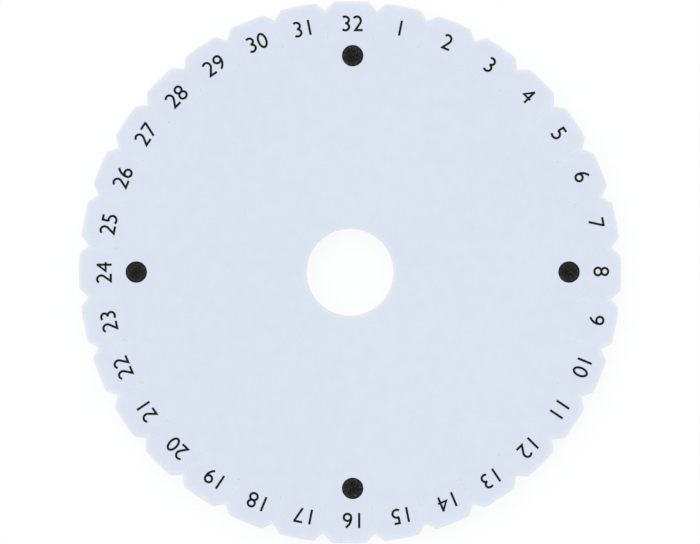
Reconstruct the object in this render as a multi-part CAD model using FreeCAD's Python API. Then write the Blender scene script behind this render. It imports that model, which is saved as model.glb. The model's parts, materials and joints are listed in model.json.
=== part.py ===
import FreeCAD, Part

import math
import os

# Braiding disk: one thick disk of firm foam with a hole in the middle, a ring of V notches
# in its rim, a knife slit behind each notch to grip a thread, and four round printed dots.
#
# The disk lies flat on z = 0 with its printed face up. The origin is the centre of the
# underside, +Z is the disk's axis, and +Y points through the middle of the tab that carries
# the highest number. Turns around the disk are clockwise from +Y, seen from above.

# Foam disk, in millimetres
disk_diameter = 150.0
disk_thickness = 10.0
hole_diameter = 24.2
edge_break = 0.3

# Notches and slits, in millimetres and degrees
slit_count = 32
notch_depth = 2.4
notch_angle = 94.0
tab_corner_radius = 0.8
slit_length = 7.6
slit_width = 0.15
slit_end_widening = 0.35

# Printed dots, in millimetres and degrees, with the small error of the print's place
dot_diameter = 5.95
dot_inset = 15.15
ink_thickness = 0.05
print_offset_x = 0.75
print_offset_y = 0.05
print_turn = -0.2

# The dots stand at the quarters of the print, and each is named by its side of the print
DOT_SIDES = ("top", "right", "bottom", "left")

UP = FreeCAD.Vector(0, 0, 1)
CENTRE = FreeCAD.Vector(0, 0, 0)

rim_radius = disk_diameter / 2
flank_angle = math.radians(notch_angle / 2)
slit_pitch = 360 / slit_count


def turned(shape, degrees):
    """Returns a copy of the shape, turned clockwise about the disk's axis."""
    copy = shape.copy()
    copy.rotate(CENTRE, UP, -degrees)
    return copy


def turned_point(point, degrees):
    """Returns the point, turned clockwise about the disk's axis."""
    return FreeCAD.Rotation(UP, -degrees).multVec(point)


def mirrored(point):
    """Returns the point on the other side of the YZ plane."""
    return FreeCAD.Vector(-point.x, point.y, point.z)


def straight(start, end):
    """Returns the straight edge between two points."""
    return Part.LineSegment(start, end).toShape()


def rounded(start, middle, end):
    """Returns the arc through three points."""
    return Part.Arc(start, middle, end).toShape()


def tab_corner():
    """Returns the start, middle and end of the arc that rounds a tab's corner.

    The notch lies on +Y and the corner is on its +X side. The arc leaves the V's flank as a
    tangent and meets the rim as one.
    """
    along = FreeCAD.Vector(math.sin(flank_angle), math.cos(flank_angle), 0)
    into_tab = FreeCAD.Vector(math.cos(flank_angle), -math.sin(flank_angle), 0)
    v_point = FreeCAD.Vector(0, rim_radius - notch_depth, 0)
    beside = v_point + into_tab * tab_corner_radius
    centre_reach = rim_radius - tab_corner_radius
    run = beside.dot(along)
    travel = math.sqrt(run ** 2 - beside.dot(beside) + centre_reach ** 2) - run
    centre = beside + along * travel
    flank_end = v_point + along * travel
    rim_start = centre * (rim_radius / centre_reach)
    outward = (rim_start - centre) + (flank_end - centre)
    return flank_end, centre + outward.normalize() * tab_corner_radius, rim_start


def notched_outline():
    """Returns the disk's outer outline: a V notch, the rim of a tab, and so on around."""
    v_point = FreeCAD.Vector(0, rim_radius - notch_depth, 0)
    flank_end, corner_middle, rim_start = tab_corner()
    tab_middle = turned_point(FreeCAD.Vector(0, rim_radius, 0), slit_pitch / 2)
    tab_end = turned_point(mirrored(rim_start), slit_pitch)
    notch_and_tab = [
        rounded(mirrored(rim_start), mirrored(corner_middle), mirrored(flank_end)),
        straight(mirrored(flank_end), v_point),
        straight(v_point, flank_end),
        rounded(flank_end, corner_middle, rim_start),
        rounded(rim_start, tab_middle, tab_end),
    ]
    edges = []
    for number in range(slit_count):
        edges += [turned(edge, (number + 0.5) * slit_pitch) for edge in notch_and_tab]
    return Part.Wire(edges)


def disk_blank():
    """Returns the notched disk with its hole, and with the edges of both faces broken."""
    hole = Part.Wire(Part.makeCircle(hole_diameter / 2))
    face = Part.Face(notched_outline()).cut(Part.Face(hole))
    blank = face.extrude(UP * disk_thickness)
    level_edges = [edge for edge in blank.Edges if edge.BoundBox.ZLength < disk_thickness / 2]
    return blank.makeChamfer(edge_break, level_edges)


def slit_cutter():
    """Returns the cutter of the slit on +Y: parallel sides that end in a small round hole."""
    half_width = slit_width / 2
    end_radius = (slit_width + slit_end_widening) / 2
    end_centre = rim_radius - notch_depth - slit_length
    end_rise = math.sqrt(end_radius ** 2 - half_width ** 2)
    start = FreeCAD.Vector(half_width, end_centre + end_rise, 0)
    mouth = FreeCAD.Vector(half_width, rim_radius, 0)
    hole_bottom = FreeCAD.Vector(0, end_centre - end_radius, 0)
    edges = [
        straight(start, mouth),
        straight(mouth, mirrored(mouth)),
        straight(mirrored(mouth), mirrored(start)),
        rounded(mirrored(start), hole_bottom, start),
    ]
    return Part.Face(Part.Wire(edges)).extrude(UP * disk_thickness)


def foam_disk():
    """Returns the disk with a slit behind each notch."""
    cutter = slit_cutter()
    slits = [turned(cutter, (number + 0.5) * slit_pitch) for number in range(slit_count)]
    return disk_blank().cut(slits)


def dot_mark(degrees):
    """Returns the ink film of one dot, on the disk's upper face."""
    place = FreeCAD.Vector(0, rim_radius - dot_inset, disk_thickness)
    offset = FreeCAD.Vector(print_offset_x, print_offset_y, 0)
    foot = turned_point(place, degrees + print_turn) + offset
    return Part.makeCylinder(dot_diameter / 2, ink_thickness, foot, UP)


def write(name, shape):
    """Writes one piece to its STEP file and prints what it holds."""
    shape.exportStep(f"parts/{name}.step")
    print(name, "solids", len(shape.Solids), "volume", round(shape.Volume, 2), "mm3")


os.makedirs("parts", exist_ok=True)
write("foam_disk", foam_disk())
for quarter, side in enumerate(DOT_SIDES):
    write(f"dot_mark_{side}", dot_mark(quarter * 360 / len(DOT_SIDES)))
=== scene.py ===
import json
import logging
import math
from dataclasses import dataclass, field
from enum import Enum
from typing import Any

import bpy
import numpy as np
from bpy.types import Material, Node, NodeSocket, NodeTree, Object
from mathutils.geometry import delaunay_2d_cdt
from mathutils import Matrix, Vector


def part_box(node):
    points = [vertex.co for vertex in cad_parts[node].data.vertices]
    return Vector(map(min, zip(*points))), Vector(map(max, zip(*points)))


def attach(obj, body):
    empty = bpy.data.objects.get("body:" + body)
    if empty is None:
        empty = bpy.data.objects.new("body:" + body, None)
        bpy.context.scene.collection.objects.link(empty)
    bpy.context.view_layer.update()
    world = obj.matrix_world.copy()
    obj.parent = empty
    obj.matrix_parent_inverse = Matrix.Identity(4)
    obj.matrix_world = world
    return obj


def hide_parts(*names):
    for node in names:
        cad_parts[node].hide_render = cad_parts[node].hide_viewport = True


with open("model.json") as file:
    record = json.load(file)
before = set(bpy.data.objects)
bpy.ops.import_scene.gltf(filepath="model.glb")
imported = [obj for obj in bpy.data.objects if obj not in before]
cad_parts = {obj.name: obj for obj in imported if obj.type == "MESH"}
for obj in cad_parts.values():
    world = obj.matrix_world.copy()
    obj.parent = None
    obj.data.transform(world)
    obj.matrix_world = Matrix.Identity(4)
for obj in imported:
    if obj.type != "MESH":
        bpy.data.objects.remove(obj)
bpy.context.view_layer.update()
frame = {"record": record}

# A braiding disk of firm foam: a thick die-cut disk with a hole in the middle, 32 notches in
# its rim, a knife slit behind each notch, and the numbers 1 to 32 and four dots printed on it.
#
# Sizes are in millimetres and become metres where a mesh, a node or the camera takes them. A
# point of a flat outline is a complex number, with +X as the real axis and +Y as the imaginary
# one. Turns around the disk are clockwise from +Y, seen from above.

MM = 0.001
BODY = "root"
LOG = logging.getLogger("braiding_disk")

Array = np.ndarray
Floats = tuple[float, ...]

# Linear red, green and blue, and 1
Colour = tuple[float, float, float, float]
WHITE: Colour = (1.0, 1.0, 1.0, 1.0)


class Quarter(Enum):
    """The sides of the print that carry a dot, with their turn from +Y in degrees."""

    TOP = 0
    RIGHT = 90
    BOTTOM = 180
    LEFT = 270

    @property
    def node(self) -> str:
        """The CAD node of this side's dot."""
        return f"dot_mark_{self.name.lower()}"


class Slot(Enum):
    """The record's material slots."""

    FOAM = "foam"
    INK = "ink"


def mount(name: str) -> dict[str, Any]:
    """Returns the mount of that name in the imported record."""
    return next(entry for entry in frame["record"]["mounts"] if entry["name"] == name)


def ray(turn: Array | float) -> Array | complex:
    """Returns the unit point at a turn from +Y, in radians: its sine, and its cosine times i."""
    return np.sin(turn) + 1j * np.cos(turn)


def dot(first: Array | complex, second: Array | complex) -> Array | float:
    """Returns the dot product of two plane vectors held as complex numbers."""
    return (first * np.conj(second)).real


def ease(value: Array) -> Array:
    """Returns a smooth step: 3t^2 - 2t^3 with t held between 0 and 1."""
    held = np.clip(value, 0.0, 1.0)
    return held * held * (3.0 - 2.0 * held)


def round_drop(distance: Array, radius: float) -> Array:
    """Returns how far an edge of radius r lies below its face: r - sqrt(r^2 - (r - d)^2)."""
    inside = np.clip(radius - distance, 0.0, radius)
    return radius - np.sqrt(radius**2 - inside**2)


def raised(place: Array, height: Array | float) -> Array:
    """Returns plane points, held as complex numbers, at a height: rows of x, y and z."""
    level = np.broadcast_to(height, place.shape)
    return np.stack([place.real, place.imag, level], axis=-1).reshape(-1, 3)


def grid_quads(ids: Array) -> Array:
    """Returns the quads (i, j), (i, j + 1), (i + 1, j + 1), (i + 1, j) of a grid's numbers."""
    corners = (ids[..., :-1, :-1], ids[..., :-1, 1:], ids[..., 1:, 1:], ids[..., 1:, :-1])
    return np.stack(corners, axis=-1).reshape(-1, 4)


def new_object(name: str, data: bpy.types.ID) -> Object:
    """Makes an object and puts it into the scene.

    Args:
        name: The object's name.
        data: Its mesh, lamp or camera.

    Returns:
        The object.
    """
    made = bpy.data.objects.new(name, data)
    bpy.context.scene.collection.objects.link(made)
    return made


def make_piece(
    name: str,
    points: Array,
    faces: list[Array],
    finish: Material,
    slot: Slot,
    smooth: bool = True,
    values: dict[str, Array] | None = None,
) -> Object:
    """Makes a mesh object that rides on the disk's body, without vertices that no face uses.

    Args:
        name: The piece's name.
        points: Vertices in millimetres, one row each.
        faces: Arrays of faces, each array with one number of corners.
        finish: The piece's material.
        slot: The record's material slot. It is not used.
        smooth: Whether the faces are shaded smooth.
        values: Named values of every vertex, which the material reads.

    Returns:
        The new object.
    """
    used = np.unique(np.concatenate([part.ravel() for part in faces]))
    corners = [face for part in faces for face in np.searchsorted(used, part).tolist()]
    mesh = bpy.data.meshes.new(name)
    mesh.from_pydata((points[used] * MM).tolist(), [], corners)
    mesh.polygons.foreach_set("use_smooth", np.full(len(corners), smooth))
    for label, value in (values or {}).items():
        layer = mesh.attributes.new(label, "FLOAT", "POINT")
        layer.data.foreach_set("value", value[used].astype(np.float32))
    mesh.materials.append(finish)
    mesh.update()
    piece = new_object(name, mesh)
    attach(piece, BODY)
    return piece


class Wall(Enum):
    """The disk's two walls: around the rim, its notches and slits, and around the bore."""

    OUTER = "outer"
    BORE = "bore"


@dataclass(frozen=True)
class TabPlan:
    """One tab of the disk seen from above, from its left notch to its right one.

    Rows run from the bore outwards and columns run clockwise. The drop is how far a rounded
    edge lies below its face, the cut is 1 on a cut wall and 0 on the faces, and the inset is
    how far the waist draws a wall in.
    """

    place: Array
    drop: Array
    edge_distance: Array
    cut: Array
    inset: Array
    first_open_row: int

    def border(self, values: Array, wall: Wall) -> Array:
        """Takes the values along the foot of a wall, clockwise.

        Args:
            values: Values by row and column, with any axes before them.
            wall: The wall. The outer one runs along slit, flank, rim, flank and slit.

        Returns:
            The values, with one axis in place of row and column.
        """
        if wall is Wall.BORE:
            return values[..., 0, :]
        left = values[..., self.first_open_row :, 0]
        right = values[..., self.first_open_row :, -1][..., ::-1]
        return np.concatenate([left, values[..., -1, 1:-1], right], axis=-1)


@dataclass
class Shell:
    """A closed surface in the making: its vertices, each with its values, and its faces."""

    vertices: list[Array] = field(default_factory=list)
    faces: list[Array] = field(default_factory=list)
    size: int = 0

    def add(
        self, place: Array, height: Array, away: Array, cut: Array | float, whole_rows: slice
    ) -> Array:
        """Adds a grid of vertices, by tab, row and column.

        In a whole row the last column of a tab is the first column of the next.

        Args:
            place: The vertices seen from above.
            height: Their heights.
            away: How far each lies from the nearest outer edge.
            cut: How far each belongs to a cut wall, from 0 to 1.
            whole_rows: The rows that no slit opens.

        Returns:
            The vertices' numbers, in the grid's shape.
        """
        ids = np.arange(place.size).reshape(place.shape) + self.size
        self.size += place.size
        columns = np.broadcast_arrays(place.real, place.imag, height, away, cut)
        self.vertices.append(np.stack(columns, axis=-1).reshape(-1, len(columns)))
        ids[:, whole_rows, -1] = np.roll(ids[:, whole_rows, 0], -1, axis=0)
        return ids


@dataclass
class FoamDisk:
    """The foam disk, as one closed surface made of 32 like tabs that meet at the notches.

    The foam's colour holds painted light: a paler band near its edges that stands in for light
    scattered through the translucent foam. Along the bore that band is narrower by
    bore_band, and a slit's wall counts as lying slit_depth inside an edge. The walls are
    drawn in by the waist, which starts at a notch's bottom and is full after waist_fade along
    the flank.
    """

    rim_radius: float
    thickness: float
    bore_radius: float
    tab_count: int
    slit_end: float
    notch_bottom: float
    flank_angle: float = math.radians(47.0)
    corner_radius: float = 0.8
    slit_gap: float = 0.007
    end_hole_radius: float = 0.065
    edge_rounding: float = 0.25
    lip_rounding: float = 0.04
    # How much narrower the painted edge light is along the bore
    bore_band: float = 0.7
    slit_depth: float = 1.6
    waist: float = 0.15
    waist_fade: float = 2.0
    # The rows of the surface: radii, distances from the slit's end and from the outline, the
    # lip as shares of its rounding, and degrees around the end hole and the rounded edges
    plain_radii: Floats = (14.5, 26.0, 45.0)
    rows_before_slit: Floats = (2.0, 0.5)
    lip_rows: Floats = (1.0, 0.4)
    hole_angles: Floats = (0.0, 30.0, 60.0, 90.0, 120.0, 150.0, 176.0)
    rows_in_slit: Floats = (1.0, 3.6)
    rows_in_outline: Floats = (2.2, 1.0)
    rounding_angles: Floats = (0.0, 22.5, 45.0, 67.5, 90.0)
    # The columns of half a tab: shares of the lip, degrees along the flank, and steps
    lip_columns: Floats = (0.0, 0.3, 0.65, 1.0)
    flank_columns: Floats = (0.25, 0.6, 1.0, 1.4)
    corner_steps: int = 4
    rim_steps: int = 5
    gather_start: float = 2.0
    gather_run: float = 1.6
    wall_levels: int = 8

    @classmethod
    def from_frame(cls) -> "FoamDisk":
        """Reads the disk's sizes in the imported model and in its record's mounts.

        Returns:
            The foam disk.
        """
        slits = mount("thread_slits")["dims"]
        low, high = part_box("foam_disk")
        slit_end = slits["pcd_mm"] / 2
        return cls(
            rim_radius=round((high.x - low.x) / 2 / MM, 1),
            thickness=(high.z - low.z) / MM,
            bore_radius=mount("centre_hole")["dims"]["r_mm"],
            tab_count=slits["count"],
            slit_end=slit_end,
            notch_bottom=slit_end + slits["slot_length_mm"],
        )

    @property
    def half_pitch(self) -> float:
        """Half the turn from one notch to the next, in radians."""
        return math.pi / self.tab_count

    @property
    def along_flank(self) -> complex:
        """The direction from a notch's bottom up its right flank."""
        return complex(ray(self.flank_angle))

    @property
    def into_tab(self) -> complex:
        """The direction from a notch's right flank straight into the tab."""
        return complex(ray(self.flank_angle + math.pi / 2))

    def corner_centre(self) -> complex:
        """Finds the centre of the arc that rounds a tab's corner.

        It lies a corner radius inside the flank and inside the rim, where a line beside the
        flank meets a circle inside the rim.

        Returns:
            The centre, beside the notch on +Y.
        """
        beside = 1j * self.notch_bottom + self.into_tab * self.corner_radius
        run = dot(beside, self.along_flank)
        reach = self.rim_radius - self.corner_radius
        travel = math.sqrt(run**2 - abs(beside) ** 2 + reach**2) - run
        return beside + self.along_flank * travel

    def corner_turns(self) -> tuple[float, float]:
        """Works out where the arc that rounds a tab's corner starts and ends.

        Returns:
            The turns at which it leaves the flank and meets the rim, in radians.
        """
        centre = self.corner_centre()
        flank_end = centre - self.into_tab * self.corner_radius
        return math.atan2(flank_end.real, flank_end.imag), math.atan2(centre.real, centre.imag)

    def outline_radius(self, turn: Array) -> Array:
        """Works out how far the outer outline lies from the axis.

        On the flank the law of sines gives v sin(a) / sin(a - t), with v the radius of the
        notch's bottom and a the flank's angle. On the corner a ray from the axis leaves the
        corner's circle, and beyond it lies the rim.

        Args:
            turn: Turns from the notch, in radians.

        Returns:
            The outline's radii.
        """
        flank_end, rim_start = self.corner_turns()
        flank = self.notch_bottom * math.sin(self.flank_angle) / np.sin(self.flank_angle - turn)
        centre = self.corner_centre()
        middle = dot(centre, ray(turn))
        span = np.maximum(self.corner_radius**2 - abs(centre) ** 2 + middle**2, 0.0)
        corner = middle + np.sqrt(span)
        inner = np.where(turn < flank_end, flank, corner)
        return np.where(turn < rim_start, inner, self.rim_radius)

    def edge_distance(self, place: Array) -> Array:
        """Measures how far points lie inside the outer outline.

        It is the distance to the rim or to the flank's line, whichever is less, behind the
        notch the one to the notch's bottom, and beside the corner the one to its arc.

        Args:
            place: Points right of the notch on +Y, up to the middle of its tab.

        Returns:
            The distances.
        """
        from_bottom = place - 1j * self.notch_bottom
        behind = dot(from_bottom, self.along_flank) < 0.0
        past_line = dot(from_bottom, self.into_tab)
        to_flank = np.where(behind, np.abs(from_bottom), past_line)
        to_rim = self.rim_radius - np.abs(place)
        centre = self.corner_centre()
        from_centre = place - centre
        before_rim = (np.conj(centre) * from_centre).imag >= 0.0
        past_flank = (np.conj(from_centre) * -self.into_tab).imag >= 0.0
        to_corner = self.corner_radius - np.abs(from_centre)
        return np.where(before_rim & past_flank, to_corner, np.minimum(to_flank, to_rim))

    def inwards(self, place: Array) -> Array:
        """Works out the direction into the foam, which is the slope of the edge distance.

        Args:
            place: Points right of the notch on +Y, up to the middle of its tab.

        Returns:
            The unit directions.
        """
        step, least = 1e-4, 1e-12
        across = self.edge_distance(place + step) - self.edge_distance(place - step)
        up = self.edge_distance(place + 1j * step) - self.edge_distance(place - 1j * step)
        return (across + 1j * up) / np.maximum(np.hypot(across, up), least)

    def slit_distance(self, place: Array) -> Array:
        """Measures how far points lie from the slit's wall or from the round hole at its end.

        Args:
            place: Points right of the notch on +Y.

        Returns:
            The distances, or 0 inside the slit.
        """
        to_hole = np.abs(place - 1j * self.slit_end) - self.end_hole_radius
        to_wall = place.real - self.slit_gap / 2
        beside = place.imag > self.slit_end
        return np.maximum(np.where(beside, np.minimum(to_wall, to_hole), to_hole), 0.0)

    def slit_turn(self, radius: Array) -> Array:
        """Works out the turn of the slit's right wall.

        In the end hole the law of cosines gives it, and in the slit it is the arc sine of half
        the gap over the radius. Nearer to the axis the foam is whole and the turn is 0.

        Args:
            radius: Distances from the axis.

        Returns:
            The turns, in radians.
        """
        hole, end = self.end_hole_radius, self.slit_end
        cosine = (radius**2 + end**2 - hole**2) / (2.0 * radius * end)
        in_hole = np.arccos(np.clip(cosine, -1.0, 1.0))
        in_slit = np.where(radius > end, np.arcsin(self.slit_gap / 2 / radius), 0.0)
        return np.maximum(in_hole, in_slit)

    def column_turns(self, radius: Array) -> Array:
        """Spreads the columns of half a tab, from the slit's wall to the tab's middle.

        The first columns spread evenly where the foam is whole. They start to gather at
        gather_start before the slit's end, and after gather_run they stay close to the slit
        for its rounded lip. The others have fixed turns: flank, corner and rim.

        Args:
            radius: The radius of each row.

        Returns:
            Turns in radians, one row for each radius.
        """
        flank_end, rim_start = self.corner_turns()
        flank = np.radians(self.flank_columns)
        corner = np.linspace(flank_end, rim_start, self.corner_steps + 1)
        rim = np.linspace(rim_start, self.half_pitch, self.rim_steps + 1)[1:]
        wall = self.slit_turn(radius)[:, None]
        near = np.array(self.lip_columns) * self.lip_rounding / radius[:, None]
        spread = np.linspace(0.0, flank[0], len(self.lip_columns), endpoint=False)
        share = ease((radius[:, None] - self.slit_end + self.gather_start) / self.gather_run)
        lips = wall + near * share + spread * (1.0 - share)
        fixed = np.concatenate([flank, corner, rim])
        return np.hstack([lips, np.broadcast_to(fixed, (len(radius), len(fixed)))])

    def half_tab(self) -> tuple[Array, int]:
        """Lays out the points of half a tab, right of the notch on +Y.

        The inner rows are arcs about the axis: the bore's rounded edge, the plain face, the
        end hole and the slit. The outer rows follow the outline at set distances inside it. A
        row at distance d lies d / cos(s) short of the outline along the radius, with s the
        angle between the radius and the outline's normal.

        Returns:
            The points, and the number of the first row that the slit opens.
        """
        hole, end = self.end_hole_radius, self.slit_end
        rounding = self.edge_rounding * (1.0 - np.cos(np.radians(self.rounding_angles)))
        bore = self.bore_radius + rounding
        plain = np.append(self.plain_radii, end - np.array(self.rows_before_slit))
        lip = end - hole - self.lip_rounding * np.array(self.lip_rows)
        around = end - hole * np.cos(np.radians(self.hole_angles))
        slit = end + np.array(self.rows_in_slit)
        arcs = np.concatenate([bore, plain, lip, around, slit])
        first_open_row = len(bore) + len(plain) + len(lip)
        inner = arcs[:, None] * ray(self.column_turns(arcs))

        turn = self.column_turns(np.array([self.notch_bottom]))[0]
        outline = self.outline_radius(turn) * ray(turn)
        slant = -dot(self.inwards(outline), ray(turn))
        inside = np.concatenate([self.rows_in_outline, rounding[::-1]])
        outer = outline - inside[:, None] / slant * ray(turn)
        return np.vstack([inner, outer]), first_open_row

    def tab_plan(self) -> TabPlan:
        """Works out one whole tab. Its right half mirrors its left one in the tab's middle.

        Returns:
            The tab's plan, with the notch at its left on +Y.
        """
        half, first_open_row = self.half_tab()
        to_outline = np.maximum(self.edge_distance(half), 0.0)
        to_bore = np.maximum(np.abs(half) - self.bore_radius, 0.0)
        to_slit = self.slit_distance(half)
        # The distance that sets the painted edge light: narrower along the bore, weaker behind a
        # slit
        away = np.minimum(to_outline, to_bore / self.bore_band)
        away = np.minimum(away, to_slit + self.slit_depth)
        outer_drop = round_drop(np.minimum(to_outline, to_bore), self.edge_rounding)
        lip_drop = round_drop(to_slit, self.lip_rounding)
        cut = np.maximum(outer_drop / self.edge_rounding, lip_drop / self.lip_rounding)

        past_notch = dot(half - 1j * self.notch_bottom, self.along_flank)
        hold = ease(past_notch / self.waist_fade)
        inset = self.inwards(half) * hold * self.waist
        inset[0] = self.waist * half[0] / np.abs(half[0])

        middle = 1j * np.exp(-1j * self.half_pitch)

        def whole(values: Array) -> Array:
            """Adds the right half to the left one's values. Points mirror as middle^2 conj(p)."""
            turn = middle**2 if np.iscomplexobj(values) else 1.0
            return np.hstack([values, turn * np.conj(values[:, -2::-1])])

        return TabPlan(
            place=whole(half),
            drop=whole(np.maximum(outer_drop, lip_drop)),
            edge_distance=whole(away),
            cut=whole(cut),
            inset=whole(inset),
            first_open_row=first_open_row,
        )

    def around(self, values: Array) -> Array:
        """Repeats a tab's values for every tab, and turns points, which are complex."""
        turn = (2 * np.arange(self.tab_count)[:, None, None] + 1) * self.half_pitch
        return values * (np.exp(-1j * turn) if np.iscomplexobj(values) else np.ones_like(turn))

    def add_faces(self, shell: Shell, plan: TabPlan) -> tuple[Array, Array]:
        """Adds the disk's two faces, each with its drop at the rounded edges.

        Args:
            shell: The surface in the making.
            plan: The plan of one tab.

        Returns:
            The vertex numbers of the upper and the lower face.
        """
        place, drop = self.around(plan.place), self.around(plan.drop)
        values = (self.around(plan.edge_distance), self.around(plan.cut))
        whole_rows = slice(0, plan.first_open_row + 1)
        top = shell.add(place, self.thickness - drop, *values, whole_rows)
        bottom = shell.add(place, drop, *values, whole_rows)
        shell.faces += [grid_quads(top), grid_quads(bottom)[:, ::-1]]
        return top, bottom

    def add_wall(self, shell: Shell, plan: TabPlan, wall: Wall, top: Array, bottom: Array) -> None:
        """Joins the borders of the two faces by a wall.

        Its levels are drawn in by w sin(pi s), with s the share of the way down and w the
        waist that a die leaves. Their distance to an edge, which sets the painted edge light,
        grows with the depth below a face.

        Args:
            shell: The surface in the making.
            plan: The plan of one tab.
            wall: Which of the walls to add.
            top: The vertex numbers of the upper face.
            bottom: The vertex numbers of the lower face.
        """
        share = np.linspace(0.0, 1.0, self.wall_levels + 1)[1:-1, None]
        fall = plan.border(plan.drop, wall)
        height = self.thickness - fall - share * (self.thickness - 2.0 * fall)
        depth = np.minimum(share, 1.0 - share) * self.thickness
        drawn_in = plan.border(plan.inset, wall) * np.sin(math.pi * share)
        level = plan.border(plan.place, wall) + drawn_in
        away = plan.border(plan.edge_distance, wall) + depth
        grids = (self.around(values) for values in (level, height, away))
        between = shell.add(*grids, 1.0, slice(None))
        upper, lower = (plan.border(face, wall)[:, None] for face in (top, bottom))
        quads = grid_quads(np.concatenate([upper, between, lower], axis=1))
        shell.faces.append(quads[:, ::-1] if wall is Wall.BORE else quads)

    def build(self, finish: Material) -> Object:
        """Makes the disk from its two faces and its two walls.

        Args:
            finish: The foam's material.

        Returns:
            The foam disk.
        """
        plan, shell = self.tab_plan(), Shell()
        top, bottom = self.add_faces(shell, plan)
        for wall in Wall:
            self.add_wall(shell, plan, wall, top, bottom)
        points, away, cut = np.split(np.concatenate(shell.vertices), (3, 4), axis=1)
        values = {"edge_distance": away[:, 0], "cut_wall": cut[:, 0]}
        disk = make_piece("foam_body", points, shell.faces, finish, Slot.FOAM, values=values)
        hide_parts("foam_disk")
        return disk


@dataclass(frozen=True)
class Bend:
    """An arc of a digit's pen path: part of an ellipse, with its angles anticlockwise from +X."""

    centre: complex
    half_width: float
    half_height: float
    start: float = 0.0
    end: float = 360.0
    weight: float = 1.0
    step: float = 9.0

    def path(self) -> Array:
        """Works out the points of the arc: the centre plus w cos(a) and h sin(a).

        Returns:
            The points, from start to end.
        """
        count = max(2, math.ceil(abs(self.end - self.start) / self.step) + 1)
        angle = np.radians(np.linspace(self.start, self.end, count))
        across, up = self.half_width * np.cos(angle), self.half_height * np.sin(angle)
        return self.centre + across + 1j * up


@dataclass(frozen=True)
class Run:
    """Straight lines of a digit's pen path, from point to point."""

    points: list[complex]
    weight: float = 1.0

    def path(self) -> Array:
        """Returns the points of the lines."""
        return np.array(self.points)


Stroke = list[Bend | Run]

# The strokes of each digit, with the origin in the middle of the digit and +Y up
DIGIT_STROKES: dict[str, list[Stroke]] = {
    "0": [[Bend(0j, 1.08, 1.9)]],
    "1": [[Run([2.1j, -2.1j])]],
    "2": [[Bend(-0.21 + 0.78j, 1.06, 1.16, 145.0, -36.0), Run([-0.67 - 1.83j, 1.37 - 1.83j])]],
    "3": [
        [Bend(-0.28 + 1.0j, 1.04, 0.92, 128.0, -89.0)],
        [Bend(-0.23 - 0.9j, 1.05, 0.98, 91.0, -136.0)],
    ],
    "4": [
        [Run([0.63 + 2.13j, 0.63 - 2.08j])],
        [Run([0.61 + 1.86j, -1.11 - 0.42j, 1.36 - 0.42j], weight=0.87)],
    ],
    "5": [
        [Run([0.83 + 1.9j, -0.65 + 1.9j, -0.65 + 0.22j])],
        [Bend(-0.3 - 0.78j, 1.18, 1.09, 116.0, -135.0)],
    ],
    "6": [[Bend(0.04 - 0.88j, 1.01, 0.98)], [Bend(2.77 - 0.64j, 3.75, 3.23, 180.0, 127.0)]],
    "7": [[Run([-1.21 + 1.88j, 1.29 + 1.88j])], [Run([1.04 + 1.82j, -0.63 - 2.02j])]],
    "8": [[Bend(0.05 + 1.01j, 0.97, 0.93)], [Bend(0.05 - 0.9j, 1.05, 0.97)]],
    "9": [[Bend(0.93j, 1.01, 0.97)], [Bend(-2.14 + 0.64j, 3.18, 2.96, 0.0, -57.0)]],
}


@dataclass(frozen=True)
class FlatShape:
    """A flat shape cut into triangles, whose corners run anticlockwise."""

    points: Array
    triangles: Array


@dataclass
class Pen:
    """The pen that draws the digits: strokes with blunt ends and pointed corners."""

    width: float = 0.63
    weld: float = 1e-5
    # The kind of cut that keeps what lies inside a ribbon
    inside_only: int = 1

    def ribbon(self, stroke: Stroke) -> Array:
        """Widens a pen path to both sides.

        Each point moves by half the width along (m + n) / (1 + m.n), with m and n the normals
        of the lines before and after it. A part's weight scales the width.

        Args:
            stroke: The parts of the path, joined end to end.

        Returns:
            Left and right points in two rows.
        """
        path = np.concatenate([part.path() for part in stroke])
        weights = np.concatenate([np.full(len(part.path()), part.weight) for part in stroke])
        closed = abs(path[0] - path[-1]) < self.weld
        lines = np.diff(path)
        normals = 1j * lines / np.abs(lines)
        before = np.concatenate([normals[-1:] if closed else normals[:1], normals])
        after = np.concatenate([normals, normals[:1] if closed else normals[-1:]])
        side = (before + after) / (1.0 + dot(before, after)) * weights * self.width / 2
        return np.stack([path + side, path - side])

    def draw(self, strokes: list[Stroke]) -> FlatShape:
        """Joins the ribbons of a digit's strokes into one flat shape.

        Args:
            strokes: The digit's strokes.

        Returns:
            The shape, in which strokes that overlap count once.
        """
        points, quads = [], []
        for stroke in strokes:
            ribbon = self.ribbon(stroke)
            ids = np.arange(ribbon.size).reshape(ribbon.shape) + len(points)
            points += raised(ribbon, 0.0)[:, :2].tolist()
            quads += grid_quads(ids)[:, ::-1].tolist()
        cut = delaunay_2d_cdt(points, [], quads, self.inside_only, self.weld)
        found, triangles, origins = cut[0], cut[2], cut[5]
        shape = np.array(found) @ np.array([1.0, 1j])
        faces = np.array([corners for corners, origin in zip(triangles, origins) if origin])
        first, second, third = (shape[faces[:, corner]] for corner in range(3))
        clockwise = (np.conj(second - first) * (third - first)).imag < 0.0
        faces[clockwise] = faces[clockwise][:, ::-1]
        return FlatShape(shape, faces)


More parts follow.
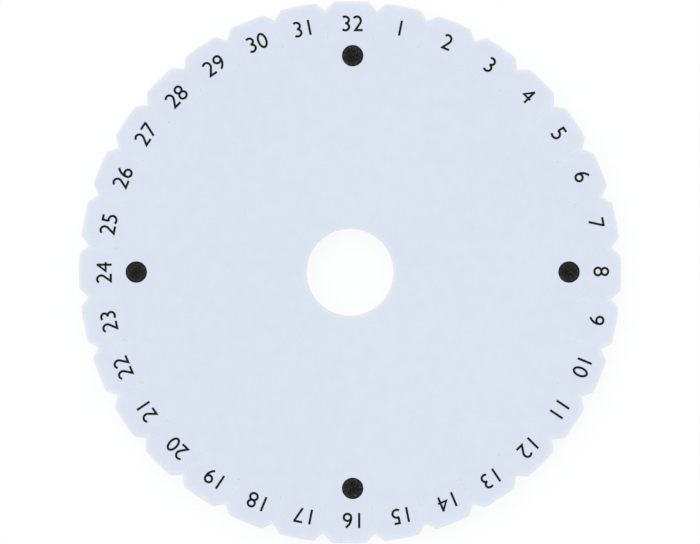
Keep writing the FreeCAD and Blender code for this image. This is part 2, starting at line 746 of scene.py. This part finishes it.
@dataclass
class Print:
    """The ink on the disk's upper face: 32 numbers and four dots, a little off the middle.

    A dot's film is thinner by edge_thinning at its border, and by dry_thinning in a ring that
    the press squeezes dry, at the share dry_ring of the radius.
    """

    face_height: float
    dot_height: float
    dot_radius: float
    middle: complex
    turn: float
    dot_ring: float
    number_count: int
    number_ring: float = 68.74
    number_height: float = 0.03
    digit_pitch: float = 3.21
    digit_shift: float = -0.2
    dot_segments: int = 128
    dot_rings: Floats = (0.3, 0.55, 0.66, 0.72, 0.76, 0.8, 0.84, 0.9, 0.95, 0.98, 1.0)
    dot_waves: tuple[int, ...] = (7, 16, 31)
    dot_raggedness: float = 0.02
    doming: int = 12
    edge_thinning: float = 0.4
    dry_thinning: float = 0.6
    dry_ring: float = 0.75
    dry_width: float = 0.06

    @classmethod
    def from_frame(cls) -> "Print":
        """Reads the dots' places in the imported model, and the print's middle and turn in them.

        Returns:
            The print.
        """
        boxes = [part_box(quarter.node) for quarter in Quarter]
        centres = [complex(low.x + high.x, low.y + high.y) / 2 / MM for low, high in boxes]
        top, _, bottom, _ = centres
        upwards = top - bottom
        low, high = boxes[0]
        return cls(
            face_height=low.z / MM,
            dot_height=(high.z - low.z) / MM,
            dot_radius=(high.x - low.x) / 2 / MM,
            middle=sum(centres) / len(centres),
            turn=math.atan2(upwards.real, upwards.imag),
            dot_ring=abs(upwards) / 2,
            number_count=mount("thread_slits")["dims"]["count"],
        )

    def film(self, shape: FlatShape) -> tuple[Array, list[Array]]:
        """Gives a number's flat shape the thickness of its ink.

        A border line is a triangle's side that no other triangle runs along the other way.
        Each gets a wall from the foam up to the top of the film.

        Args:
            shape: The flat shape.

        Returns:
            The vertices and the faces.
        """
        count = len(shape.points)
        sides = np.concatenate([shape.triangles[:, pair] for pair in ([0, 1], [1, 2], [2, 0])])
        forth, back = sides @ [count, 1], sides @ [1, count]
        start, end = sides[~np.isin(back, forth)].T
        walls = np.stack([start + count, end + count, end, start], axis=1)
        levels = (self.face_height + self.number_height, self.face_height)
        points = np.vstack([raised(shape.points, level) for level in levels])
        return points, [shape.triangles, shape.triangles[:, ::-1] + count, walls]

    def number(self, value: int, glyphs: dict[str, FlatShape]) -> FlatShape:
        """Sets a number's digits side by side at its place, with their feet to the middle.

        Args:
            value: The number.
            glyphs: The shape of each digit.

        Returns:
            The number's flat shape.
        """
        text = str(value)
        outwards = complex(ray(self.turn + 2.0 * math.pi * value / self.number_count))
        points, triangles, start = [], [], 0
        for place, digit in enumerate(text):
            glyph = glyphs[digit]
            across = (place - (len(text) - 1) / 2) * self.digit_pitch + self.digit_shift
            local = glyph.points + across + 1j * self.number_ring
            points.append(self.middle + local * outwards / 1j)
            triangles.append(glyph.triangles + start)
            start += len(glyph.points)
        return FlatShape(np.concatenate(points), np.concatenate(triangles))

    def build_numbers(self, pen: Pen, finish: Material) -> list[Object]:
        """Makes the numbers 1 to 32, each one piece.

        Args:
            pen: The pen that draws the digits.
            finish: The ink's material.

        Returns:
            The numbers.
        """
        glyphs = {digit: pen.draw(strokes) for digit, strokes in DIGIT_STROKES.items()}
        pieces = []
        for value in range(1, self.number_count + 1):
            film = self.film(self.number(value, glyphs))
            name = f"number_{value:02d}"
            pieces.append(make_piece(name, *film, finish, Slot.INK, smooth=False))
        return pieces

    def build_dot(self, quarter: Quarter, finish: Material) -> Object:
        """Makes one round dot, a film with a ragged border and a thin edge.

        The border's radius is R + g (sin 7a + sin(16a + 1) + sin(31a + 2)) / 3, with a the
        angle around the dot, plus the quarter's own turn. The film's height is
        t sqrt(1 - s^12), with s the share of the way to the border. The ink is thinner by
        e s + d exp(-((s - r) / w)^2), with r the ring that is squeezed dry and w its width.

        Args:
            quarter: The dot's side of the print.
            finish: The ink's material.

        Returns:
            The dot.
        """
        turn = math.radians(quarter.value)
        angle = np.linspace(0.0, 2.0 * math.pi, self.dot_segments, endpoint=False)
        counts = enumerate(self.dot_waves)
        waves = sum(np.sin(count * (angle + turn) + phase) for phase, count in counts)
        radius = self.dot_radius + self.dot_raggedness * waves / len(self.dot_waves)
        share = np.array(self.dot_rings)
        height = self.dot_height * np.sqrt(1.0 - share**self.doming)
        dry = np.exp(-(((share - self.dry_ring) / self.dry_width) ** 2))
        thin = self.edge_thinning * share + self.dry_thinning * dry
        centre = self.middle + self.dot_ring * ray(self.turn + turn)
        place = centre + share[:, None] * radius * np.exp(1j * angle)
        rings = raised(place, (self.face_height + height)[:, None])
        levels = np.array([self.face_height + self.dot_height, self.face_height])
        middles = raised(np.full(len(levels), centre), levels)
        thin_ink = np.append(np.repeat(thin, self.dot_segments), np.zeros(len(levels)))
        ids = np.arange(place.size).reshape(place.shape)
        around = np.hstack([ids, ids[:, :1]])
        inner, outer = around[0], around[-1]
        hubs = np.full(self.dot_segments, place.size)
        top = np.stack([hubs, inner[:-1], inner[1:]], axis=1)
        base = np.stack([hubs + 1, outer[1:], outer[:-1]], axis=1)
        piece = make_piece(
            f"dot_{quarter.name.lower()}",
            np.vstack([rings, middles]),
            [grid_quads(around)[:, ::-1], top, base],
            finish,
            Slot.INK,
            values={"thin_ink": thin_ink},
        )
        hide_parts(quarter.node)
        return piece


Source = float | Floats | NodeSocket
Sockets = dict[str, NodeSocket]


def add_node(tree: NodeTree, kind: str, inputs: dict[int | str, Source], **options: Any) -> Node:
    """Adds a node, sets its options, and fills its inputs.

    Args:
        tree: The node tree.
        kind: The shader node's type, without the prefix.
        inputs: A value or an output socket for each named or numbered input.
        options: The node's own properties.

    Returns:
        The node.
    """
    made = tree.nodes.new(f"ShaderNode{kind}")
    for name, value in options.items():
        setattr(made, name, value)
    for key, source in inputs.items():
        if isinstance(source, NodeSocket):
            tree.links.new(source, made.inputs[key])
        else:
            made.inputs[key].default_value = source
    return made


def maths(tree: NodeTree, operation: str, *terms: Source) -> NodeSocket:
    """Adds a Math node and returns its result."""
    return add_node(tree, "Math", dict(enumerate(terms)), operation=operation).outputs[0]


def blend(tree: NodeTree, share: Source, first: Source, second: Source) -> NodeSocket:
    """Adds a Mix node for colours and returns its result."""
    return add_node(tree, "Mix", {0: share, 6: first, 7: second}, data_type="RGBA").outputs[2]


def scaled(tree: NodeTree, vector: Source, scale: Source) -> NodeSocket:
    """Adds a Vector Math node that scales, and returns its result."""
    return add_node(tree, "VectorMath", {0: vector, "Scale": scale}, operation="SCALE").outputs[0]


def noise(tree: NodeTree, vector: Source, scale: float, **options: float) -> NodeSocket:
    """Adds a Noise Texture node and returns its value."""
    return add_node(tree, "TexNoise", {"Vector": vector, "Scale": scale} | options).outputs["Fac"]


def attribute(tree: NodeTree, name: str) -> NodeSocket:
    """Adds an Attribute node and returns its value."""
    return add_node(tree, "Attribute", {}, attribute_name=name).outputs["Fac"]


@dataclass(frozen=True)
class FoamCells:
    """The fine cells of closed-cell foam, as a node group that foam and ink share.

    A cell pattern gives each cell a pit that is deepest at its middle. Patches of noise leave
    pits only where they are above the pit level. Painted shade darkens each pit's middle and
    lightens the cells' rims. A mottle and a larger cloud give the slow changes of tone across
    the sheet.
    """

    pit_middle: float = 0.05
    pit_border: float = 0.6
    patch_scale: float = 0.45
    patch_detail: float = 1.0
    patch_fade: float = 0.2
    mottle_detail: float = 3.0
    mottle_roughness: float = 0.6
    cloud_scale: float = 0.1
    cloud_detail: float = 1.0
    cloud_share: float = 0.4
    slow_middle: float = 0.7

    def group(self) -> NodeTree:
        """Builds the node group.

        Returns:
            The group, with Tone around 1, which holds the painted shade of the pits and the
            mottle, Pits from 0 to 1, and Height from 0 to 1.
        """
        group = bpy.data.node_groups.new("foam_cells", "ShaderNodeTree")
        group.interface.new_socket("Vector", in_out="INPUT", socket_type="NodeSocketVector")
        for label in ("Cell Size", "Mottle Size", "Cell Tone", "Mottle Tone", "Pit Level"):
            group.interface.new_socket(label, in_out="INPUT", socket_type="NodeSocketFloat")
        given = group.nodes.new("NodeGroupInput").outputs
        by_cell, by_mottle = (
            scaled(group, given["Vector"], maths(group, "DIVIDE", 1.0, given[size]))
            for size in ("Cell Size", "Mottle Size")
        )
        inputs = {"Vector": by_cell, "Scale": 1.0}
        cells = add_node(group, "TexVoronoi", inputs).outputs["Distance"]
        inputs = {"Value": cells, "From Min": self.pit_middle, "From Max": self.pit_border}
        ramp = add_node(group, "MapRange", inputs, interpolation_type="SMOOTHSTEP")
        height = ramp.outputs["Result"]
        patches = noise(group, by_cell, self.patch_scale, Detail=self.patch_detail)
        full = maths(group, "ADD", given["Pit Level"], self.patch_fade)
        inputs = {"Value": patches, "From Min": given["Pit Level"], "From Max": full}
        deep = add_node(group, "MapRange", inputs).outputs["Result"]
        pits = maths(group, "MULTIPLY", maths(group, "SUBTRACT", 1.0, height), deep)
        detail = {"Detail": self.mottle_detail, "Roughness": self.mottle_roughness}
        mottle = noise(group, by_mottle, 1.0, **detail)
        cloud = noise(group, by_mottle, self.cloud_scale, Detail=self.cloud_detail)
        slow = maths(group, "SUBTRACT", mottle, self.slow_middle)
        slow = maths(group, "MULTIPLY_ADD", cloud, self.cloud_share, slow)
        # Painted shade: darker at the pits' middles, lighter on the cells' rims
        fine = maths(group, "MULTIPLY", maths(group, "SUBTRACT", height, 0.5), given["Cell Tone"])
        tone = maths(group, "ADD", fine, 1.0)
        tone = maths(group, "MULTIPLY_ADD", slow, given["Mottle Tone"], tone)
        leave = group.nodes.new("NodeGroupOutput")
        for label, source in (("Tone", tone), ("Pits", pits), ("Height", height)):
            group.interface.new_socket(label, in_out="OUTPUT", socket_type="NodeSocketFloat")
            group.links.new(source, leave.inputs[label])
        return group


def empty_tree(owner: Material | bpy.types.World) -> NodeTree:
    """Makes the node tree of a material or a world, and empties it.

    Args:
        owner: The material or the world.

    Returns:
        Its node tree.
    """
    owner.use_nodes = True
    owner.node_tree.nodes.clear()
    return owner.node_tree


def object_place(tree: NodeTree) -> NodeSocket:
    """Returns the place on the object, in metres."""
    return add_node(tree, "TexCoord", {}).outputs["Object"]


@dataclass(frozen=True)
class Finish:
    """A matt finish on closed-cell foam, with its sizes in millimetres."""

    cells: NodeTree
    roughness: float
    pit_roughness: float
    specular: float
    cell_depth: float
    mottle_size: float
    pit_level: float
    cell_size: float = 0.32

    def look(self, tree: NodeTree) -> Sockets:
        """Returns the surface's Colour, Tone, Pits and Height."""
        raise NotImplementedError

    def texture(self, tree: NodeTree, cell_tone: Source, mottle_tone: Source) -> Sockets:
        """Lays the cells over the object.

        Args:
            tree: The material's tree.
            cell_tone: How much painted shade darkens the cells' pits and lightens their rims.
            mottle_tone: How much the mottle changes the tone.

        Returns:
            The group's outputs Tone, Pits and Height.
        """
        inputs = {
            "Vector": object_place(tree),
            "Cell Size": self.cell_size * MM,
            "Mottle Size": self.mottle_size * MM,
            "Cell Tone": cell_tone,
            "Mottle Tone": mottle_tone,
            "Pit Level": self.pit_level,
        }
        return dict(add_node(tree, "Group", inputs, node_tree=self.cells).outputs)

    def build(self, name: str) -> Material:
        """Builds the material: the look's colour scaled by its tone, with the bump of its height.

        Args:
            name: The material's name.

        Returns:
            The material.
        """
        material = bpy.data.materials.new(name)
        tree = empty_tree(material)
        look = self.look(tree)
        bump = add_node(tree, "Bump", {"Height": look["Height"], "Distance": self.cell_depth * MM})
        rough = maths(tree, "MULTIPLY_ADD", look["Pits"], self.pit_roughness, self.roughness)
        inputs = {
            "Base Color": scaled(tree, look["Colour"], look["Tone"]),
            "Roughness": rough,
            "Specular IOR Level": self.specular,
            "Normal": bump.outputs[0],
        }
        shader = add_node(tree, "BsdfPrincipled", inputs)
        add_node(tree, "OutputMaterial", {0: shader.outputs[0]})
        return material


@dataclass(frozen=True)
class FoamFinish(Finish):
    """Pale closed-cell foam, with painted light along its edges, drag lines and open cells where
    cut, and painted shade in its pits, open cells and grooves.

    A pair holds the value on the faces and what the cut walls add to it.
    """

    roughness: float = 0.88
    pit_roughness: float = 0.1
    specular: float = 0.3
    cell_depth: float = 0.02
    mottle_size: float = 3.0
    pit_level: float = 0.5
    colour: Colour = (0.700, 0.755, 0.866, 1.0)
    # Painted light: the paler colour along the edges stands in for light scattered through the
    # foam
    edge_colour: Colour = (0.825, 0.850, 0.910, 1.0)
    wall_colour: Colour = (0.725, 0.778, 0.876, 1.0)
    edge_reach: float = 0.7
    # Painted shade in the cells' pits, on the faces and added on the cut walls
    cell_tone: tuple[float, float] = (0.025, 0.065)
    mottle_tone: tuple[float, float] = (0.065, 0.04)
    bump_share: tuple[float, float] = (0.6, 0.4)
    # Painted shade in the open cells of the cut walls, which makes them darker
    open_cell_tone: float = -0.13
    line_size: float = 0.4
    line_length: float = 8.0
    line_detail: float = 2.0
    # Painted shade: how much darker the drag lines' grooves are, and lighter their ridges
    line_tone: float = 0.15
    line_height: float = 1.5

    def drag_lines(self, tree: NodeTree, cut: NodeSocket) -> NodeSocket:
        """Adds the lines that the die drew down the cut walls: a noise stretched along Z.

        Args:
            tree: The material's tree.
            cut: How far a point belongs to a cut wall.

        Returns:
            The lines around 0, which fade out on the faces.
        """
        sizes = (self.line_size, self.line_size, self.line_length)
        inputs = {0: object_place(tree), 1: tuple(1.0 / (size * MM) for size in sizes)}
        stretched = add_node(tree, "VectorMath", inputs, operation="MULTIPLY")
        lines = noise(tree, stretched.outputs[0], 1.0, Detail=self.line_detail)
        return maths(tree, "MULTIPLY", maths(tree, "SUBTRACT", lines, 0.5), cut)

    def look(self, tree: NodeTree) -> Sockets:
        """Works out the foam's look.

        The colour is the face's or the cut wall's, mixed with the paler painted edge light colour
        by exp(-d / reach), with d the distance to the nearest edge: painted light that stands in
        for light scattered through the translucent foam near its edges. The drag lines and the
        open cells of the cut walls add to the cells' tone and height, with painted shade that
        darkens their grooves and pits.

        Args:
            tree: The material's tree.

        Returns:
            The surface's Colour, Tone, Pits and Height.
        """
        cut, away = attribute(tree, "cut_wall"), attribute(tree, "edge_distance")
        cell_tone, mottle_tone, bump_share = (
            maths(tree, "MULTIPLY_ADD", cut, added, plain)
            for plain, added in (self.cell_tone, self.mottle_tone, self.bump_share)
        )
        look = self.texture(tree, cell_tone, mottle_tone)
        lines = self.drag_lines(tree, cut)
        # Painted shade: the open cells of the cut walls are darker
        shaded_open_cells = maths(tree, "MULTIPLY", look["Pits"], cut)
        tone = maths(tree, "MULTIPLY_ADD", shaded_open_cells, self.open_cell_tone, look["Tone"])
        # Painted shade: the tone follows the drag lines' height, darker in their grooves
        look["Tone"] = maths(tree, "MULTIPLY_ADD", lines, self.line_tone, tone)
        height = maths(tree, "MULTIPLY", look["Height"], bump_share)
        look["Height"] = maths(tree, "MULTIPLY_ADD", lines, self.line_height, height)
        # Painted edge light, fading as exp(-d / reach) from the nearest edge
        painted_edge_light = maths(tree, "EXPONENT", maths(tree, "MULTIPLY", away, -1.0 / self.edge_reach))
        base = blend(tree, cut, self.colour, self.wall_colour)
        look["Colour"] = blend(tree, painted_edge_light, base, self.edge_colour)
        return look


@dataclass(frozen=True)
class InkFinish(Finish):
    """Matt black ink, a little uneven, thinner in places, and speckled by the foam's pits."""

    roughness: float = 0.62
    pit_roughness: float = 0.2
    specular: float = 0.075
    cell_depth: float = 0.012
    mottle_size: float = 1.2
    pit_level: float = 0.42
    colour: Colour = (0.0018, 0.0017, 0.0018, 1.0)
    worn_colour: Colour = (0.090, 0.085, 0.084, 1.0)
    thin_share: float = 0.23
    # Painted shade in the cells' pits under the ink
    cell_tone: float = 0.2
    mottle_tone: float = 0.8

    def look(self, tree: NodeTree) -> Sockets:
        """Works out the ink's look: black, mixed with the worn colour by pits and thinness.

        Args:
            tree: The material's tree.

        Returns:
            The surface's Colour, Tone, Pits and Height.
        """
        look = self.texture(tree, self.cell_tone, self.mottle_tone)
        thin = attribute(tree, "thin_ink")
        worn = maths(tree, "MULTIPLY_ADD", thin, self.thin_share, look["Pits"])
        look["Colour"] = blend(tree, worn, self.colour, self.worn_colour)
        return look


def seen_directly(tree: NodeTree) -> NodeSocket:
    """Tells the rays that show a thing to the camera, straight, mirrored or refracted.

    Args:
        tree: The node tree.

    Returns:
        1 for those rays and 0 for others.
    """
    rays = add_node(tree, "LightPath", {}).outputs
    mirrored = maths(tree, "MAXIMUM", rays["Is Camera Ray"], rays["Is Glossy Ray"])
    return maths(tree, "MAXIMUM", mirrored, rays["Is Transmission Ray"])


@dataclass
class Studio:
    """A plain white floor, soft light from all sides, and one broad lamp above."""

    floor_half_size: float = 4000.0
    floor_lines: int = 3
    floor_height: float = -0.2
    floor_colour: Colour = (0.97, 0.97, 0.97, 1.0)
    floor_glow: float = 0.85
    sky_strength: float = 0.62
    lamp_strength: float = 1.23
    lamp_angle: float = math.radians(60.0)
    lamp_tilt: tuple[float, float] = (math.radians(-10.0), math.radians(-7.0))

    def build_floor(self) -> None:
        """Makes the floor, which keeps the disk's shadow and else shows as white."""
        material = bpy.data.materials.new("floor_white")
        tree = empty_tree(material)
        matt = add_node(tree, "BsdfDiffuse", {"Color": self.floor_colour})
        glow = add_node(tree, "Emission", {"Color": WHITE, "Strength": 1.0})
        share = maths(tree, "MULTIPLY", seen_directly(tree), self.floor_glow)
        mix = add_node(tree, "MixShader", {0: share, 1: matt.outputs[0], 2: glow.outputs[0]})
        add_node(tree, "OutputMaterial", {0: mix.outputs[0]})
        side = np.linspace(-self.floor_half_size, self.floor_half_size, self.floor_lines)
        place = side + 1j * side[:, None]
        points = raised(place, self.floor_height) * MM
        quads = grid_quads(np.arange(place.size).reshape(place.shape))
        mesh = bpy.data.meshes.new("floor")
        mesh.from_pydata(points.tolist(), [], quads.tolist())
        mesh.materials.append(material)
        new_object("floor", mesh)

    def build_lights(self) -> None:
        """Makes the white surroundings and the broad lamp."""
        world = bpy.data.worlds.new("surroundings")
        bpy.context.scene.world = world
        tree = empty_tree(world)
        light = add_node(tree, "Background", {"Color": WHITE, "Strength": self.sky_strength})
        shown = add_node(tree, "Background", {"Color": WHITE, "Strength": 1.0})
        inputs = {0: seen_directly(tree), 1: light.outputs[0], 2: shown.outputs[0]}
        mix = add_node(tree, "MixShader", inputs)
        add_node(tree, "OutputWorld", {0: mix.outputs[0]})
        lamp = bpy.data.lights.new("broad_lamp", "SUN")
        lamp.energy = self.lamp_strength
        lamp.angle = self.lamp_angle
        new_object("broad_lamp", lamp).rotation_euler = (*self.lamp_tilt, 0.0)


@dataclass
class OverheadCamera:
    """The camera, straight above the disk and upright to the print."""

    view_width: float = 193.63
    height: float = 6000.0
    centre: complex = 0.017 + 0.058j
    nearest: float = 100.0
    farthest: float = 40000.0

    def build(self, face_height: float, turn: float) -> None:
        """Makes the scene's camera.

        The lens is sensor width times distance over view width, on the disk's upper face.

        Args:
            face_height: The height of the disk's upper face.
            turn: The print's turn from +Y, in radians.
        """
        lens = bpy.data.cameras.new("overhead")
        lens.lens = lens.sensor_width * self.height / self.view_width
        lens.clip_start, lens.clip_end = self.nearest * MM, self.farthest * MM
        camera = new_object("overhead", lens)
        camera.location = raised(np.array(self.centre), face_height + self.height)[0] * MM
        camera.rotation_euler = (0.0, 0.0, -turn)
        bpy.context.scene.camera = camera


def main() -> None:
    """Builds the camera, the studio and every piece of the disk, in order."""
    logging.basicConfig(level=logging.INFO, format="%(message)s")
    bpy.context.scene.view_settings.view_transform = "Standard"
    ink_print = Print.from_frame()
    OverheadCamera().build(ink_print.face_height, ink_print.turn)
    studio = Studio()
    studio.build_floor()
    studio.build_lights()

    cells = FoamCells().group()
    foam = FoamFinish(cells).build("foam")
    ink = InkFinish(cells).build("ink")

    pieces = [FoamDisk.from_frame().build(foam)]
    pieces += [ink_print.build_dot(quarter, ink) for quarter in Quarter]
    pieces += ink_print.build_numbers(Pen(), ink)
    for piece in pieces:
        LOG.info("%s: %d faces", piece.name, len(piece.data.polygons))


if __name__ == "__main__":
    main()
